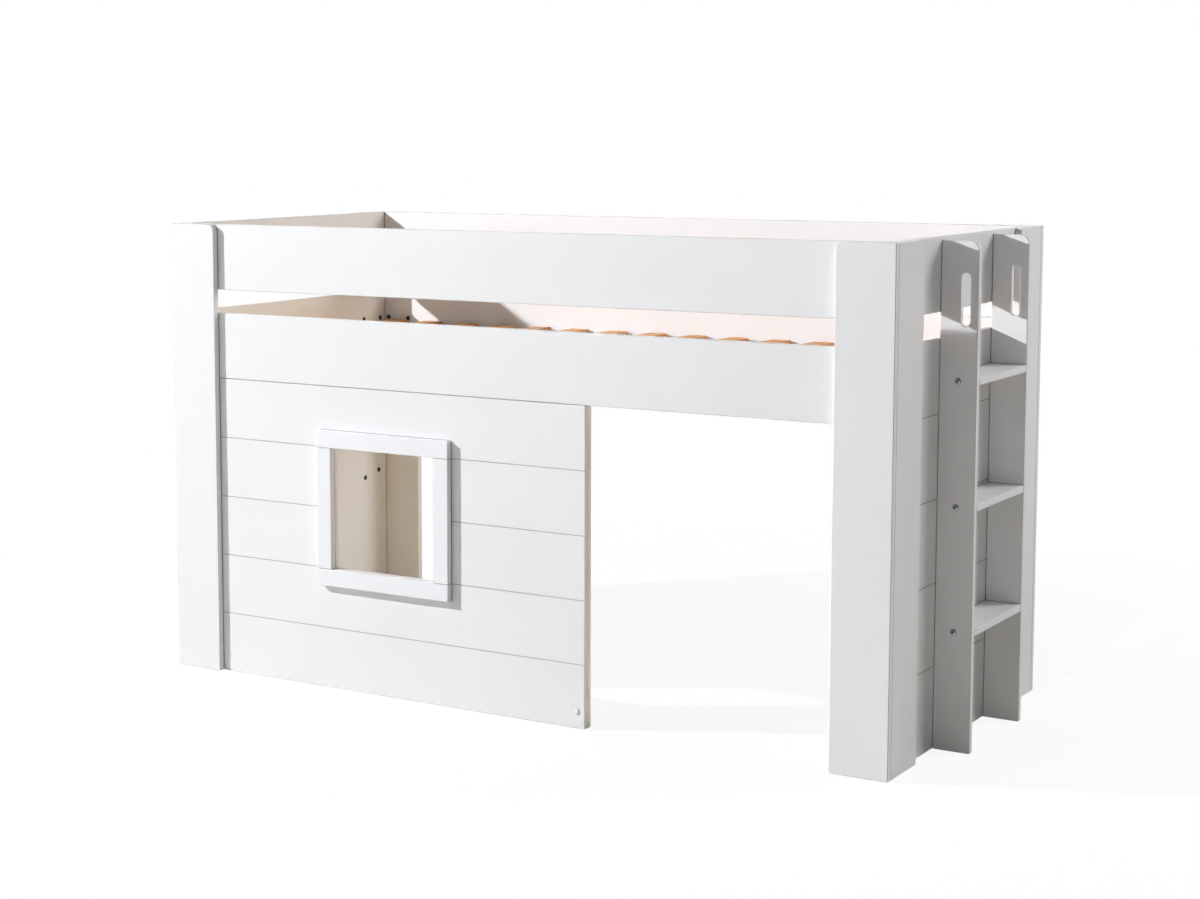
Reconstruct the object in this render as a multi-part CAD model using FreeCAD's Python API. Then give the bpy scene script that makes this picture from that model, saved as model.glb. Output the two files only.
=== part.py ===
import FreeCAD
import Part
import os

# A white mid sleeper bed for a child: a single bed raised over a play den, with guard rails all
# round, a plank-look front panel with a framed window, and a fixed ladder on the right-hand end.
# Lengths are in millimetres. X runs along the bed, Y from the front to the rear, Z up.
# The origin is on the floor, under the middle of the whole object, ladder included.

# Mattress and boards
mattress_length = 2000
mattress_width = 900
mattress_clearance = 4
board = 18
edge_ease = 1.5

# Two faces meet in a corner where the cosine between their normals is below this
corner_cosine_share = 0.9

# Heights, from the floor up
panel_height = 800
rail_height = 175
guard_gap = 63
guard_height = 175

# Corner posts, each a face board with a side board behind it
post_face_width = 144
post_side_width = 150
post_corner_radius = 18
leg_liner_reveal = 10

# House panel with its plank grooves, window and stiffening batten
house_panel_length = 1244
house_panel_board = 12
house_panel_clearance = 0.5
house_plank_count = 5
end_plank_count = 4
groove_width = 2.1
groove_depth = 1.4
window_offset = 490
window_width = 320
window_sill_planks = 2
window_planks = 2
window_frame_width = 45
batten_width = 45

# Ladder on the right-hand end
ladder_width = 357
ladder_offset = 5.5
stile_depth = 91
stile_top_drop = 9
stile_corner_radius = 20
step_count = 3
top_step_drop = 87
handle_width = 23
handle_length = 125
handle_top_margin = 73
handle_edge_margin = 19
handle_rim_ease = 1.5

# Loose slatted base on two ledgers
slat_count = 16
slat_width = 60
slat_thickness = 18
slat_edge_ease = 2
slat_end_clearance = 8
slat_first_gap = 30
slat_last_gap = 9
ledger_depth = 30
ledger_height = 40
ledger_drop = 105
strap_width = 25
strap_thickness = 1.5
strap_inset = 150

# Connector bolts, screws and dowels, drawn with a few flat sides because they repeat so often
fastener_sides = 6
bolt_radius = 3
bolt_head_radius = 7
bolt_head_height = 3
bolt_grip = 12
bolt_edge_margin = 22
rail_bolt_inset = 14
end_bolt_inset = 26
rail_bolt_drop = 83
liner_bolt_height = 650
low_bolt_height = 409
low_bolt_rise = 16
low_bolt_inset = 40
step_bolt_grip = 32
ladder_bolt_grip = 32
ladder_low_bolt_height = 150
dowel_radius = 4
dowel_length = 30
dowel_stile_depth = 12
dowel_edge_margin = 20
screw_radius = 2
screw_head_radius = 4
screw_head_height = 2
screw_grip = 12
ledger_screw_count = 6
ledger_screw_margin = 60
frame_screw_margin = 70
cap_radius = 6.5
cap_crown_radius = 4
cap_height = 3
cap_floor_height = 42
hole_clearance = 0.3
overrun = 5

# Overall sizes that follow from the mattress and the boards round it
wall = 2 * board
inner_length = mattress_length + mattress_clearance
inner_width = mattress_width + mattress_clearance
bed_length = inner_length + 2 * wall
bed_width = inner_width + 2 * wall
rail_top = panel_height + rail_height
guard_bottom = rail_top + guard_gap
bed_height = guard_bottom + guard_height
stile_top = bed_height - stile_top_drop
overall_length = bed_length - board + stile_depth

# Outer faces of the four post planes
left = -overall_length / 2
right = left + bed_length
front = -bed_width / 2
rear = bed_width / 2
house_panel_back = front + board + house_panel_board
inner_x = (left + wall, right - wall)
inner_y = (front + wall, rear - wall)

# One row per corner: name, outer face in X, inward sign in X, outer face in Y, inward sign in Y
corners = [
    ("front_left", left, 1, front, 1),
    ("front_right", right, -1, front, 1),
    ("rear_left", left, 1, rear, -1),
    ("rear_right", right, -1, rear, -1),
]

parts = {}
holes = []


def span(face, inward, near, far):
    """Ordered pair of coordinates at two depths measured inwards from an outer face."""
    return tuple(sorted((face + inward * near, face + inward * far)))


def block(x, y, z):
    """Plain box between three pairs of coordinates."""
    size = (x[1] - x[0], y[1] - y[0], z[1] - z[0])
    return Part.makeBox(*size, FreeCAD.Vector(x[0], y[0], z[0]))


def sharp_edges(shape):
    """Edges where two faces meet at a real corner, without the seams of a tangent arc."""
    found = []
    for edge in shape.Edges:
        point = edge.valueAt((edge.FirstParameter + edge.LastParameter) / 2)
        normals = []
        for face in shape.ancestorsOfType(edge, Part.Face):
            normals.append(face.normalAt(*face.Surface.parameter(point)))
        if normals[0].dot(normals[1]) < corner_cosine_share:
            found.append(edge)
    return found


def eased(shape):
    """The same solid with every corner edge broken, as on lacquered board."""
    return shape.makeChamfer(edge_ease, sharp_edges(shape))


def edge_near(shape, point):
    """The edge whose middle lies nearest to a point."""
    target = FreeCAD.Vector(*point)
    return min(shape.Edges, key=lambda edge: edge.CenterOfMass.distanceToPoint(target))


def plain_board(x, y, z):
    """Straight board with eased edges."""
    return eased(block(x, y, z))


def round_topped_board(x, y, z, corner, radius):
    """Board with one top corner rounded to a large radius, then eased all round."""
    blank = block(x, y, z)
    return eased(blank.makeFillet(radius, [edge_near(blank, corner)]))


def groove(start, run, outward, height):
    """V groove cutter along a panel's face, at one height."""
    lower = FreeCAD.Vector(*start) + FreeCAD.Vector(0, 0, height - groove_width / 2)
    upper = lower + FreeCAD.Vector(0, 0, groove_width)
    root = (lower + upper) / 2 - FreeCAD.Vector(*outward) * groove_depth
    profile = Part.Face(Part.makePolygon([lower, upper, root, lower]))
    return profile.extrude(FreeCAD.Vector(*run))


def prism(radius, length):
    """Few-sided rod along +Z that stands for a round one."""
    rim = []
    for side in range(fastener_sides + 1):
        turn = FreeCAD.Rotation(FreeCAD.Vector(0, 0, 1), side * 360 / fastener_sides)
        rim.append(turn.multVec(FreeCAD.Vector(radius, 0, 0)))
    return Part.Face(Part.makePolygon(rim)).extrude(FreeCAD.Vector(0, 0, length))


def fastener(head_radius, head_height, shank_radius, length):
    """Screw or bolt standing on its head seat, with the shank along +Z and the head below."""
    head = prism(head_radius, head_height)
    head.translate(FreeCAD.Vector(0, 0, -head_height))
    return head.fuse(prism(shank_radius, length)).removeSplitter()


def placed(shape, seat, direction):
    """Copy of a shape with its +Z turned to a direction and its origin moved to a seat."""
    turn = FreeCAD.Rotation(FreeCAD.Vector(0, 0, 1), FreeCAD.Vector(*direction))
    copy = shape.copy()
    copy.Placement = FreeCAD.Placement(FreeCAD.Vector(*seat), turn)
    return copy


def drill_hole(radius, length, seat, direction):
    """Add a fastener's hole, wider and deeper than the shank by the hole clearance."""
    holes.append(placed(prism(radius + hole_clearance, length + hole_clearance), seat, direction))


def fastener_group(name, solid, radius, length, seats):
    """Add like fasteners to one node, on a list of seats and directions, with their holes."""
    group = parts[name].Solids if name in parts else []
    parts[name] = Part.makeCompound(group + [placed(solid, seat, way) for seat, way in seats])
    for seat, way in seats:
        drill_hole(radius, length, seat, way)


def bolt_group(name, seats, length):
    """Flat-headed connector bolts."""
    bolt = fastener(bolt_head_radius, bolt_head_height, bolt_radius, length)
    fastener_group(name, bolt, bolt_radius, length, seats)


def screw_group(name, seats, length):
    """Small flat-headed screws."""
    screw = fastener(screw_head_radius, screw_head_height, screw_radius, length)
    fastener_group(name, screw, screw_radius, length, seats)


def make_posts():
    """Four L-shaped corner posts: a face board in front, a side board butted behind it."""
    full = (0, bed_height)
    side_end = board + post_side_width
    for name, x_face, x_in, y_face, y_in in corners:
        x = span(x_face, x_in, 0, post_face_width)
        y = span(y_face, y_in, 0, board)
        corner = (x_face + x_in * post_face_width, sum(y) / 2, bed_height)
        parts[name + "_post_face"] = round_topped_board(x, y, full, corner, post_corner_radius)
        x = span(x_face, x_in, 0, board)
        y = span(y_face, y_in, board, side_end)
        corner = (sum(x) / 2, y_face + y_in * side_end, bed_height)
        parts[name + "_post_side"] = round_topped_board(x, y, full, corner, post_corner_radius)


def make_leg_liners():
    """Inner leg boards that carry the bed rails at the three corners without a house panel."""
    for name, x_face, x_in, y_face, y_in in corners[1:]:
        x = span(x_face, x_in, wall, post_face_width + leg_liner_reveal)
        y = span(y_face, y_in, board, wall)
        parts[name + "_leg_liner"] = plain_board(x, y, (0, panel_height))


def make_rails():
    """Bed rails and guard rails along the front and the rear, with the open gap between them."""
    for name, y_face, y_in in (("front", front, 1), ("rear", rear, -1)):
        y = span(y_face, y_in, board, wall)
        parts[name + "_bed_rail"] = plain_board(inner_x, y, (panel_height, rail_top))
        parts[name + "_guard_rail"] = plain_board(inner_x, y, (guard_bottom, bed_height))


def make_ends():
    """End panels with plank grooves on their outer faces, and the end guards above them."""
    y = (front + board, rear - board)
    run = (0, y[1] - y[0], 0)
    pitch = panel_height / end_plank_count
    for name, x_face, x_in in (("left", left, 1), ("right", right, -1)):
        x = span(x_face, x_in, board, wall)
        start = (x_face + x_in * board, y[0], 0)
        grooves = []
        for plank in range(end_plank_count):
            grooves.append(groove(start, run, (-x_in, 0, 0), pitch * (plank + 1)))
        parts[name + "_end_panel"] = plain_board(x, y, (0, rail_top)).cut(grooves)
        parts[name + "_end_guard"] = plain_board(x, y, (guard_bottom, bed_height))


def window_box():
    """X and Z pairs of the window opening, which spans whole planks of the house panel."""
    pitch = panel_height / house_plank_count
    low = inner_x[0] + window_offset
    sill = pitch * window_sill_planks
    return (low, low + window_width), (sill, sill + pitch * window_planks)


def make_house_panel():
    """Front panel of the den: plank grooves, a square window and a batten on its free edge."""
    x = (inner_x[0], inner_x[0] + house_panel_length)
    y = (front + board, house_panel_back)
    pitch = panel_height / house_plank_count
    window_x, window_z = window_box()
    cuts = [block(window_x, (y[0] - overrun, y[1] + overrun), window_z)]
    for plank in range(house_plank_count - 1):
        cuts.append(groove((x[0], y[0], 0), (house_panel_length, 0, 0), (0, -1, 0), pitch * (plank + 1)))
    parts["house_panel"] = plain_board(x, y, (0, panel_height - house_panel_clearance)).cut(cuts)
    batten_y = (house_panel_back, house_panel_back + board)
    parts["house_panel_batten"] = plain_board((x[1] - batten_width, x[1]), batten_y, (0, panel_height))


def make_window_frame():
    """Four frame boards fixed on the panel's face round the window, butt-jointed at the corners."""
    (x0, x1), (z0, z1) = window_box()
    y = (front, front + board)
    width = window_frame_width
    parts["window_frame_top"] = plain_board((x0 - width, x1 + width), y, (z1, z1 + width))
    parts["window_frame_bottom"] = plain_board((x0 - width, x1 + width), y, (z0 - width, z0))
    parts["window_frame_left"] = plain_board((x0 - width, x0), y, (z0, z1))
    parts["window_frame_right"] = plain_board((x1, x1 + width), y, (z0, z1))


def ladder_y():
    """Y pairs of the front stile, the steps and the rear stile."""
    start = (front + rear - ladder_width) / 2 + ladder_offset
    end = start + ladder_width
    return (start, start + board), (start + board, end - board), (end - board, end)


def handle_cutter(y):
    """Upright slot with round ends, the hand hold near the top of a stile."""
    radius = handle_width / 2
    middle = right - board + stile_depth - handle_edge_margin - radius
    high = stile_top - handle_top_margin - radius
    low = stile_top - handle_top_margin - handle_length + radius
    back = y[0] - overrun
    left_low = FreeCAD.Vector(middle - radius, back, low)
    left_high = FreeCAD.Vector(middle - radius, back, high)
    right_high = FreeCAD.Vector(middle + radius, back, high)
    right_low = FreeCAD.Vector(middle + radius, back, low)
    outline = Part.Wire([
        Part.LineSegment(left_low, left_high).toShape(),
        Part.Arc(left_high, FreeCAD.Vector(middle, back, high + radius), right_high).toShape(),
        Part.LineSegment(right_high, right_low).toShape(),
        Part.Arc(right_low, FreeCAD.Vector(middle, back, low - radius), left_low).toShape(),
    ])
    return Part.Face(outline).extrude(FreeCAD.Vector(0, y[1] - y[0] + 2 * overrun, 0))


def handle_rims(shape, y):
    """Rim edges of the hand hold on both faces of a stile."""
    slot = handle_cutter(y).BoundBox
    rims = []
    for edge in shape.Edges:
        middle = edge.CenterOfMass
        on_face = edge.BoundBox.YLength < edge_ease
        in_x = slot.XMin - edge_ease < middle.x < slot.XMax + edge_ease
        in_z = slot.ZMin - edge_ease < middle.z < slot.ZMax + edge_ease
        if on_face and in_x and in_z:
            rims.append(edge)
    return rims


def make_ladder():
    """Two stiles set square to the end, a little lower than it, with a hand hold each, and flush steps."""
    x = (right - board, right - board + stile_depth)
    front_y, step_y, rear_y = ladder_y()
    for name, y in (("front", front_y), ("rear", rear_y)):
        corner = (x[1], sum(y) / 2, stile_top)
        stile = round_topped_board(x, y, (0, stile_top), corner, stile_corner_radius).cut(handle_cutter(y))
        parts[name + "_ladder_stile"] = stile.makeChamfer(handle_rim_ease, handle_rims(stile, y))
    for step, top in enumerate(step_tops()):
        parts["ladder_step_" + str(step + 1)] = plain_board(x, step_y, (top - board, top))


def step_tops():
    """Heights of the step tops, evenly spaced from the floor to below the bed rail's top."""
    pitch = (rail_top - top_step_drop) / step_count
    return [pitch * (step + 1) for step in range(step_count)]


def make_slatted_base():
    """Loose slats on two ledgers, joined into a roll by two woven straps on their undersides."""
    ledger_top = rail_top - ledger_drop
    ledger_z = (ledger_top - ledger_height, ledger_top)
    for name, y_face, y_in in (("front", front, 1), ("rear", rear, -1)):
        y = span(y_face, y_in, wall, wall + ledger_depth)
        parts[name + "_slat_ledger"] = block(inner_x, y, ledger_z)
    slat_y = (inner_y[0] + slat_end_clearance, inner_y[1] - slat_end_clearance)
    first = inner_x[0] + slat_first_gap
    last = inner_x[1] - slat_last_gap - slat_width
    pitch = (last - first) / (slat_count - 1)
    for slat in range(slat_count):
        start = first + pitch * slat
        blank = block((start, start + slat_width), slat_y, (ledger_top, ledger_top + slat_thickness))
        long_edges = [edge for edge in blank.Edges if edge.BoundBox.YLength > slat_width]
        parts["slat_" + str(slat + 1)] = blank.makeChamfer(slat_edge_ease, long_edges)
    strap_x = (first, last + slat_width)
    strap_z = (ledger_top - strap_thickness, ledger_top)
    for name, face, inward in (("front", slat_y[0], 1), ("rear", slat_y[1], -1)):
        y = span(face, inward, strap_inset, strap_inset + strap_width)
        parts[name + "_slat_strap"] = block(strap_x, y, strap_z)


def make_frame_bolts():
    """Bolts from inside through rails, panels and liners into the post boards, two per joint."""
    guard_level = (guard_bottom + bed_height) / 2
    rail_level = rail_top - rail_bolt_drop
    face_offsets = (wall + rail_bolt_inset, post_face_width - bolt_edge_margin)
    far_side = board + post_side_width - bolt_edge_margin
    side_places = [(wall + low_bolt_inset, low_bolt_height + low_bolt_rise), (far_side, low_bolt_height)]
    for level in (guard_level, rail_level):
        side_places.extend([(wall + end_bolt_inset, level), (far_side, level)])
    seats = []
    for name, x_face, x_in, y_face, y_in in corners:
        levels = [guard_level, rail_level]
        if name != "front_left":
            levels.append(liner_bolt_height)
        for level in levels:
            for offset in face_offsets:
                seats.append(((x_face + x_in * offset, y_face + y_in * wall, level), (0, -y_in, 0)))
        for offset, level in side_places:
            seats.append(((x_face + x_in * wall, y_face + y_in * offset, level), (-x_in, 0, 0)))
    bolt_group("frame_bolts", seats, board + bolt_grip)
    seats = []
    for offset in face_offsets:
        seats.append(((left + offset, house_panel_back, liner_bolt_height), (0, -1, 0)))
    bolt_group("frame_bolts", seats, house_panel_board + bolt_grip)


def make_ladder_fixings():
    """Step bolts through the stiles, dowels beside them, and bolts from the end into the stiles."""
    front_y, step_y, rear_y = ladder_y()
    panel_x = right - board
    middle = panel_x + stile_depth / 2
    dowel_x = (panel_x + dowel_edge_margin, panel_x + stile_depth - dowel_edge_margin)
    bolts = []
    dowels = []
    for face, joint, way in ((front_y[0], front_y[1], 1), (rear_y[1], rear_y[0], -1)):
        for top in step_tops():
            height = top - board / 2
            bolts.append(((middle, face, height), (0, way, 0)))
            dowels.extend(((x, joint - way * dowel_stile_depth, height), (0, way, 0)) for x in dowel_x)
    bolt_group("step_bolts", bolts, board + step_bolt_grip)
    fastener_group("step_dowels", prism(dowel_radius, dowel_length), dowel_radius, dowel_length, dowels)
    seats = []
    for y in (front_y, rear_y):
        for height in (stile_top - handle_top_margin / 2, ladder_low_bolt_height):
            seats.append(((right - wall, sum(y) / 2, height), (1, 0, 0)))
    bolt_group("ladder_bolts", seats, board + ladder_bolt_grip)


def make_ledger_screws():
    """Screws through the ledgers into the bed rails."""
    height = rail_top - ledger_drop - ledger_height / 2
    low = inner_x[0] + ledger_screw_margin
    pitch = (inner_length - 2 * ledger_screw_margin) / (ledger_screw_count - 1)
    seats = []
    for y_face, y_in in ((front, 1), (rear, -1)):
        y = y_face + y_in * (wall + ledger_depth)
        for screw in range(ledger_screw_count):
            seats.append(((low + pitch * screw, y, height), (0, -y_in, 0)))
    screw_group("ledger_screws", seats, ledger_depth + screw_grip)


def make_window_screws():
    """Screws from the den side through the house panel into the window frame boards."""
    (x0, x1), (z0, z1) = window_box()
    half = window_frame_width / 2
    y = house_panel_back
    seats = []
    for height in (z0 - half, z1 + half):
        for x in (x0 + frame_screw_margin, x1 - frame_screw_margin):
            seats.append(((x, y, height), (0, -1, 0)))
    for x in (x0 - half, x1 + half):
        for height in (z0 + frame_screw_margin, z1 - frame_screw_margin):
            seats.append(((x, y, height), (0, -1, 0)))
    screw_group("window_frame_screws", seats, house_panel_board + screw_grip)


def make_batten_fixing():
    """Sunk screw through the panel's free corner into the batten, under a low cover cap."""
    x = inner_x[0] + house_panel_length - batten_width / 2
    face = (x, front + board, cap_floor_height)
    seat = (x, front + board + screw_head_height, cap_floor_height)
    inward = (0, 1, 0)
    screw_group("batten_screw", [(seat, inward)], house_panel_board + screw_grip)
    drill_hole(screw_head_radius, screw_head_height - hole_clearance, face, inward)
    parts["screw_cap"] = placed(Part.makeCone(cap_radius, cap_crown_radius, cap_height), face, (0, -1, 0))


def drill():
    """Cut every fastener hole from the boards that it passes through."""
    fixings = ("bolts", "screws", "dowels", "screw", "cap")
    for name, shape in parts.items():
        if name.split("_")[-1] in fixings:
            continue
        near = [cutter for cutter in holes if cutter.BoundBox.intersect(shape.BoundBox)]
        if near:
            parts[name] = shape.cut(near)


def export():
    """Write one STEP file per piece or group of like fasteners."""
    os.makedirs("parts", exist_ok=True)
    for name, shape in parts.items():
        shape.exportStep("parts/" + name + ".step")


make_posts()
make_leg_liners()
make_rails()
make_ends()
make_house_panel()
make_window_frame()
make_ladder()
make_slatted_base()
make_frame_bolts()
make_ladder_fixings()
make_ledger_screws()
make_window_screws()
make_batten_fixing()
drill()
export()
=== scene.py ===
import math
import bmesh
import bpy
from mathutils import Matrix, Vector


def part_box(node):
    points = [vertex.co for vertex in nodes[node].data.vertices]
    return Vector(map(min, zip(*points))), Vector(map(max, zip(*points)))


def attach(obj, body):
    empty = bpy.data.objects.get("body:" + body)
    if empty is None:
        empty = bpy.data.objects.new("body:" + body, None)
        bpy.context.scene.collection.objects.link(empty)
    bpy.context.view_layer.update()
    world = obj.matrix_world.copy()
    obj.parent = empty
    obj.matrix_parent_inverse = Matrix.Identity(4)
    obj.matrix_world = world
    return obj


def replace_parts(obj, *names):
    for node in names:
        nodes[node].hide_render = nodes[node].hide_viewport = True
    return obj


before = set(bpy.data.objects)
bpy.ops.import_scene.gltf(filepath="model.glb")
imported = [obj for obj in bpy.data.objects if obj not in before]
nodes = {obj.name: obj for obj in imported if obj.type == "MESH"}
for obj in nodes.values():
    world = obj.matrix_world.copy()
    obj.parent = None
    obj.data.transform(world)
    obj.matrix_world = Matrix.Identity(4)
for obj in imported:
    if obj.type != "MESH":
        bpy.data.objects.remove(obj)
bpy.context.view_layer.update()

# CORNER POSTS
# Four L-shaped posts, each a face board with a side board butted behind it, full height.
# Medium-density fibreboard, inner top corners rounded, edges eased, sprayed with satin white lacquer.
corner_names = ["front_left", "front_right", "rear_left", "rear_right"]


def linear(hex_colour):
    """Linear RGBA of an sRGB hex colour."""
    channels = [int(hex_colour[k:k + 2], 16) / 255 for k in (1, 3, 5)]
    return [c / 12.92 if c <= 0.04045 else ((c + 0.055) / 1.055) ** 2.4 for c in channels] + [1.0]


def add_node(tree, kind, inputs=None, **settings):
    """A node with its settings; inputs maps a socket's name or number to an output or a plain value.
    A Mix node of colours takes them on sockets 6 and 7 and gives the mix on output 2."""
    node = tree.nodes.new(kind)
    for name, value in settings.items():
        setattr(node, name, value)
    for key, value in (inputs or {}).items():
        if isinstance(value, bpy.types.NodeSocket):
            tree.links.new(value, node.inputs[key])
        else:
            node.inputs[key].default_value = value
    return node


def finish_of(name):
    """An empty node material, with its tree, its shader and its Object coordinates."""
    material = bpy.data.materials.new(name)
    material.use_nodes = True
    tree = material.node_tree
    place = add_node(tree, "ShaderNodeTexCoord").outputs["Object"]
    return material, tree, tree.nodes["Principled BSDF"], place


def sprayed_lacquer(name, coat, shade, thin, joint, groove=None):
    """Satin lacquer sprayed on fibreboard: clouded by a few percent over a board's width, a shallow
    orange peel, thinner on eased edges, with painted shade and a little soiling in the joints and plank
    grooves."""
    material, tree, shader, place = finish_of(name)
    cloud_mm, peel_mm, wipe_mm, joint_mm = 260, 5, 45, 3
    edge_part, edge_slack, groove_part, groove_slack = 0.707, 0.05, 0.8, 0.04
    packed, clear, most_shade_and_dust = 0.5, 0.9, 0.9
    unshaded_to, shade_from = 0.004, 0.008
    cloud = add_node(tree, "ShaderNodeTexNoise", {"Vector": place, "Scale": 1000 / cloud_mm, "Detail": 3})
    tone = add_node(tree, "ShaderNodeMix", {0: cloud.outputs["Fac"], 6: linear(coat), 7: linear(shade)},
                    data_type="RGBA")
    # The largest part of a face's normal is 1 on a flat face, 0.8 in a groove and 0.7 on an eased edge
    normal = add_node(tree, "ShaderNodeNewGeometry").outputs["True Normal"]
    parts = add_node(tree, "ShaderNodeVectorMath", {0: normal}, operation="ABSOLUTE")
    x, y, z = add_node(tree, "ShaderNodeSeparateXYZ", {0: parts.outputs[0]}).outputs
    most = add_node(tree, "ShaderNodeMath", {0: x, 1: y}, operation="MAXIMUM")
    most = add_node(tree, "ShaderNodeMath", {0: most.outputs[0], 1: z}, operation="MAXIMUM").outputs[0]
    edge = add_node(tree, "ShaderNodeMath", {0: most, 1: edge_part, 2: edge_slack}, operation="COMPARE")
    rubs = add_node(tree, "ShaderNodeTexNoise", {"Vector": place, "Scale": 1000 / wipe_mm, "Detail": 5})
    rubbed = add_node(tree, "ShaderNodeMath", {0: edge.outputs[0], 1: rubs.outputs["Fac"]},
                      operation="MULTIPLY")
    tone = add_node(tree, "ShaderNodeMix", {0: rubbed.outputs[0], 6: tone.outputs[2], 7: linear(thin)},
                    data_type="RGBA")
    # Painted shade, with a little soiling, darkens the colour where another board is close,
    # but draws no line along the floor that the boards stand on
    shade_occlusion = add_node(tree, "ShaderNodeAmbientOcclusion", {"Distance": joint_mm / 1000}, samples=8)
    shade_and_dust = add_node(tree, "ShaderNodeMapRange", {"Value": shade_occlusion.outputs["AO"], "From Min": packed,
                                                 "From Max": clear, "To Min": most_shade_and_dust, "To Max": 0.0})
    height = add_node(tree, "ShaderNodeSeparateXYZ", {0: place}).outputs["Z"]
    raised = add_node(tree, "ShaderNodeMapRange", {"Value": height, "From Min": unshaded_to,
                                                   "From Max": shade_from})
    shade_and_dust = add_node(tree, "ShaderNodeMath", {0: shade_and_dust.outputs[0], 1: raised.outputs[0]}, operation="MULTIPLY")
    tone = add_node(tree, "ShaderNodeMix", {0: shade_and_dust.outputs[0], 6: tone.outputs[2], 7: linear(joint)},
                    data_type="RGBA")
    # The plank grooves take a darker colour: painted shade, with a little soiling where the lacquer runs thin
    if groove:
        slope = add_node(tree, "ShaderNodeMath", {0: most, 1: groove_part, 2: groove_slack},
                         operation="COMPARE")
        tone = add_node(tree, "ShaderNodeMix", {0: slope.outputs[0], 6: tone.outputs[2], 7: linear(groove)},
                        data_type="RGBA")
    tree.links.new(tone.outputs[2], shader.inputs["Base Color"])
    gloss = add_node(tree, "ShaderNodeMapRange", {"Value": rubs.outputs["Fac"], "From Min": 0.3,
                                                  "From Max": 0.7, "To Min": 0.36, "To Max": 0.46})
    tree.links.new(gloss.outputs[0], shader.inputs["Roughness"])
    peel = add_node(tree, "ShaderNodeTexNoise", {"Vector": place, "Scale": 1000 / peel_mm, "Detail": 1})
    bump = add_node(tree, "ShaderNodeBump", {"Strength": 0.08, "Distance": 0.0004,
                                             "Height": peel.outputs["Fac"]})
    tree.links.new(bump.outputs[0], shader.inputs["Normal"])
    shader.inputs["IOR"].default_value = 1.48
    return material


def dress(material, *names):
    """Give CAD nodes their finish."""
    for name in names:
        nodes[name].data.materials.clear()
        nodes[name].data.materials.append(material)


# Joint colours are painted shade with a little soiling; the lighter one is for the leg liners and the end
# panels
joint_shade_and_dust, corner_shade_and_dust = "#6C6763", "#B3ACA4"
white_lacquer = sprayed_lacquer("sprayed white lacquer", "#F2F2F3", "#ECECED", "#DDD9D4", joint_shade_and_dust)
dress(white_lacquer, *[corner + board for corner in corner_names for board in ("_post_face", "_post_side")])
# The leg liners' coat is a touch warmer: painted warm bounce light from under the bed
inner_lacquer = sprayed_lacquer("inner leg lacquer", "#F2F1EF", "#ECEBE9", "#DDD9D3", corner_shade_and_dust)
dress(inner_lacquer, *[corner + "_leg_liner" for corner in corner_names[1:]])

# RAILS AND GUARDS
# Bed rails and guard rails along both sides, end guards above the end panels, an open gap below them.
# The same sprayed fibreboard, bolted from inside to the posts; the rear boards' greyer coat is painted shade.
rear_shaded_lacquer = sprayed_lacquer("rear board lacquer", "#ECECEE", "#E6E6E8", "#D8D3CE", joint_shade_and_dust)
dress(white_lacquer, "front_bed_rail", "front_guard_rail", "left_end_guard", "right_end_guard")
dress(rear_shaded_lacquer, "rear_bed_rail", "rear_guard_rail")

# END PANELS AND HOUSE PANEL
# Closed ends and the den's front wall: single boards with V grooves milled across to look like planks.
# The lacquer runs thin in the grooves, where painted shade and a little soiling draw a fine line.
house_lacquer = sprayed_lacquer("grooved white lacquer", "#F2F2F3", "#ECECED", "#DDD9D4", joint_shade_and_dust,
                                groove="#B4B1AE")
end_lacquer = sprayed_lacquer("end panel lacquer", "#F2F2F2", "#ECECEC", "#DDD9D4", corner_shade_and_dust,
                              groove="#A8A39D")
dress(house_lacquer, "house_panel")
dress(end_lacquer, "left_end_panel", "right_end_panel")
dress(white_lacquer, "house_panel_batten")

# WINDOW FRAME
# Four boards fixed on the house panel's face round the window, butt-jointed and screwed from the den side.
# Sprayed apart from the panel, so their coat is a touch colder than the panel's.
frame_lacquer = sprayed_lacquer("window frame lacquer", "#F5F5F8", "#EFEFF2", "#E4E1DE", joint_shade_and_dust)
dress(frame_lacquer, *["window_frame_" + side for side in ("top", "bottom", "left", "right")])

# LADDER
# Two stiles set square to the right end, each with a hand-hold slot, and flush steps between them.
# Sprayed fibreboard, handled and stood on, so edges are rubbed a little more than elsewhere.
stile_names = ["front_ladder_stile", "rear_ladder_stile"]
step_names = ["ladder_step_" + str(k) for k in (1, 2, 3)]
ladder_lacquer = sprayed_lacquer("ladder lacquer", "#F2F1F1", "#EBEAEA", "#CFC9C3", joint_shade_and_dust)
dress(ladder_lacquer, *stile_names, *step_names)

# SLAT LEDGERS
# Two battens that carry the slats, screwed to the inner faces of the bed rails.
# Plain sawn fibreboard strips in the bed's own white lacquer.
dress(white_lacquer, "front_slat_ledger", "rear_slat_ledger")

# SLATS
# Loose flat slats of planed softwood, resting on the ledgers with gaps of about their own width.
# Left unfinished: straw-coloured early wood, browner late wood along the slat, a few small knots.


def reach(node, axis):
    """Lowest and highest place of a CAD node along x, y or z, to a hundredth of a millimetre."""
    low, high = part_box(node)
    return round(getattr(low, axis), 5), round(getattr(high, axis), 5)


def middle(node, axis):
    """Middle of a CAD node along x, y or z."""
    return sum(reach(node, axis)) / 2


def extent(node, axis):
    """Size of a CAD node along x, y or z."""
    low, high = reach(node, axis)
    return round(high - low, 5)


slat_count = sum(name.startswith("slat_") for name in nodes)
slat_names = ["slat_" + str(k + 1) for k in range(slat_count)]
slat_first, slat_low = reach("slat_1", "x")[0], reach("slat_1", "z")[0]
slat_wide = extent("slat_1", "x")
slat_pitch = reach("slat_2", "x")[0] - slat_first
slat_gap = slat_pitch - slat_wide


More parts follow.
